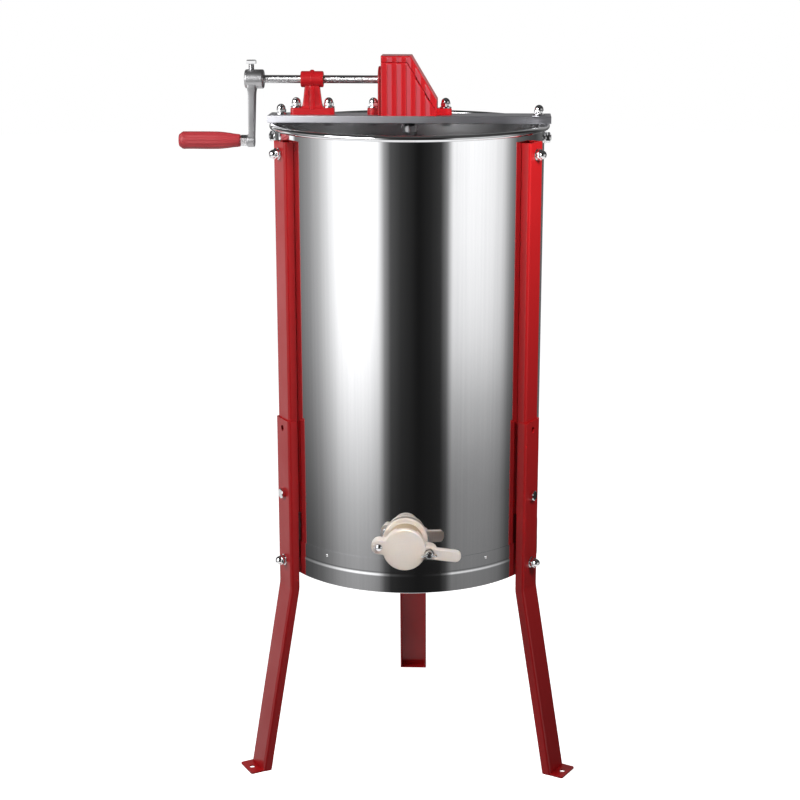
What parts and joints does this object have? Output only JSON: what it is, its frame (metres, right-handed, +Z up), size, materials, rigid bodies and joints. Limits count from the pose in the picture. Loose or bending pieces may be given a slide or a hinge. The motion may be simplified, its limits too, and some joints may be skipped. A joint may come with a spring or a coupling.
{
  "type": "honey extractor",
  "caption": "Polished steel drum on splayed channel legs with a cranked bevel drive on a crossbar, a spinning basket for comb frames and a plastic honey gate.",
  "frame": {"origin": "centre of the circle of floor holes in the feet, on the floor and on the drum axis", "axes": "+Z up along the drum axis, +X along the crossbar away from the crank, -Y towards the gate"},
  "size_m": [0.563, 0.5023, 0.999],
  "materials": {
    "polished_steel": "polished",
    "red_paint": "gloss",
    "red_casting": "gloss",
    "bar_aluminium": "satin",
    "cast_aluminium": "satin",
    "red_plastic": "matte",
    "cream_plastic": "satin",
    "black_rubber": "matte",
    "black_plastic": "satin",
    "bronze": "satin",
    "gear_iron": "satin",
    "basket_steel": "satin",
    "bright_steel": "polished"
  },
  "bodies": {
    "stand": {"drum_shell": "polished_steel", "rim_wire": "basket_steel", "drum_floor": "polished_steel", "base_hoop": "polished_steel", "hoop_rivets": "polished_steel", "left_upper_leg": "red_paint", "right_upper_leg": "red_paint", "rear_upper_leg": "red_paint", "left_lower_leg": "red_paint", "right_lower_leg": "red_paint", "rear_lower_leg": "red_paint", "leg_wall_bolts": "bright_steel", "leg_washers": "bright_steel", "leg_cap_nuts": "bright_steel", "leg_joint_bolts": "bright_steel", "leg_joint_nuts": "bright_steel", "crossbar": "bar_aluminium", "tie_eyebolts": "bright_steel", "tie_bolts": "bright_steel", "tie_washers": "bright_steel", "tie_nuts": "bright_steel", "deck_bolts": "bright_steel", "bar_washers": "bright_steel", "bar_cap_nuts": "bright_steel", "gear_housing": "red_casting", "gear_cover": "red_casting", "cover_screws": "bright_steel", "housing_bush": "bronze", "pedestal": "red_casting", "pedestal_bush": "bronze", "top_bush": "black_plastic", "bottom_bearing": "gear_iron", "bearing_ball": "bright_steel", "gate_body": "cream_plastic", "gate_gasket": "black_rubber", "gate_lock_nut": "cream_plastic", "gate_pivot_bolt": "bright_steel", "gate_wing_bolt": "bright_steel"},
    "basket": {"spindle": "bright_steel", "pinion": "gear_iron", "spindle_collar": "bright_steel", "collar_screw": "bright_steel", "basket_top": "basket_steel", "basket_bottom": "basket_steel", "basket_posts": "basket_steel", "front_inner_net": "basket_steel", "front_outer_net": "basket_steel", "rear_inner_net": "basket_steel", "rear_outer_net": "basket_steel"},
    "crank": {"drive_shaft": "bright_steel", "drive_gear": "gear_iron", "crank_arm": "cast_aluminium", "crank_screw": "bright_steel", "grip_pin": "bright_steel"},
    "grip": {"grip": "red_plastic"},
    "blade": {"gate_blade": "cream_plastic"},
    "wing": {"wing_nut": "bright_steel"}
  },
  "joints": [
    {"name": "basket_spin", "type": "hinge", "parent": "stand", "child": "basket", "pos_m": [0, 0, 0.909], "axis": [0, 0, 1], "continuous": true},
    {"name": "crank_spin", "type": "hinge", "parent": "stand", "child": "crank", "pos_m": [0, 0, 0.9663], "axis": [1, 0, 0], "continuous": true},
    {"name": "grip_spin", "type": "hinge", "parent": "crank", "child": "grip", "pos_m": [-0.25, 0, 0.8823], "axis": [1, 0, 0], "continuous": true},
    {"name": "gate_swing", "type": "hinge", "parent": "stand", "child": "blade", "pos_m": [-0.02858, -0.21882, 0.36928], "axis": [0.0262, -0.9997, 0], "range_deg": [0, 75]},
    {"name": "wing_turn", "type": "hinge", "parent": "stand", "child": "wing", "pos_m": [0.03847, -0.22507, 0.36166], "axis": [0.0262, -0.9997, 0], "continuous": true}
  ],
  "couplings": [
    {"joint": "crank_spin", "follows": "basket_spin", "ratio": -0.5}
  ]
}
